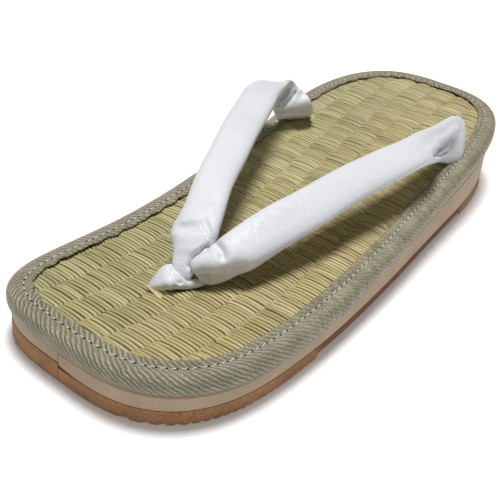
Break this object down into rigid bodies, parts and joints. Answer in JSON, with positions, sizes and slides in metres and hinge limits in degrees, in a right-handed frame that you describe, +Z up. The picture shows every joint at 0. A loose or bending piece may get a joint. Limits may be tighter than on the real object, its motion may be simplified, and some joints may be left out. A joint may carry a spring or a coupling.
{
  "type": "zori sandal",
  "caption": "Left zori sandal with a wedge foam sole, rippled rubber outsole, bound rush mat footbed and padded white straps held by a toe thong.",
  "frame": {"origin": "centre of the bounding box in plan, on the floor plane under the treads", "axes": "+Z up, +Y from the toe to the heel, +X towards the little-toe side of a left foot"},
  "size_m": [0.1058, 0.2636, 0.0497],
  "materials": {
    "brown_rubber": "matt brown sheet rubber with cross ripples",
    "beige_foam": "matt fine-celled beige foam",
    "rush_mat": "dry woven rush, green to straw, satin strands",
    "grey_leatherette": "grey-green leatherette, diagonal grain, half gloss",
    "white_leatherette": "white padded leatherette, fine grain, half gloss"
  },
  "bodies": {
    "root": {"outsole": "brown_rubber", "midsole": "beige_foam", "mat_footbed": "rush_mat", "edge_binding": "grey_leatherette", "strap_upper": "white_leatherette", "toe_thong": "white_leatherette"}
  },
  "joints": []
}
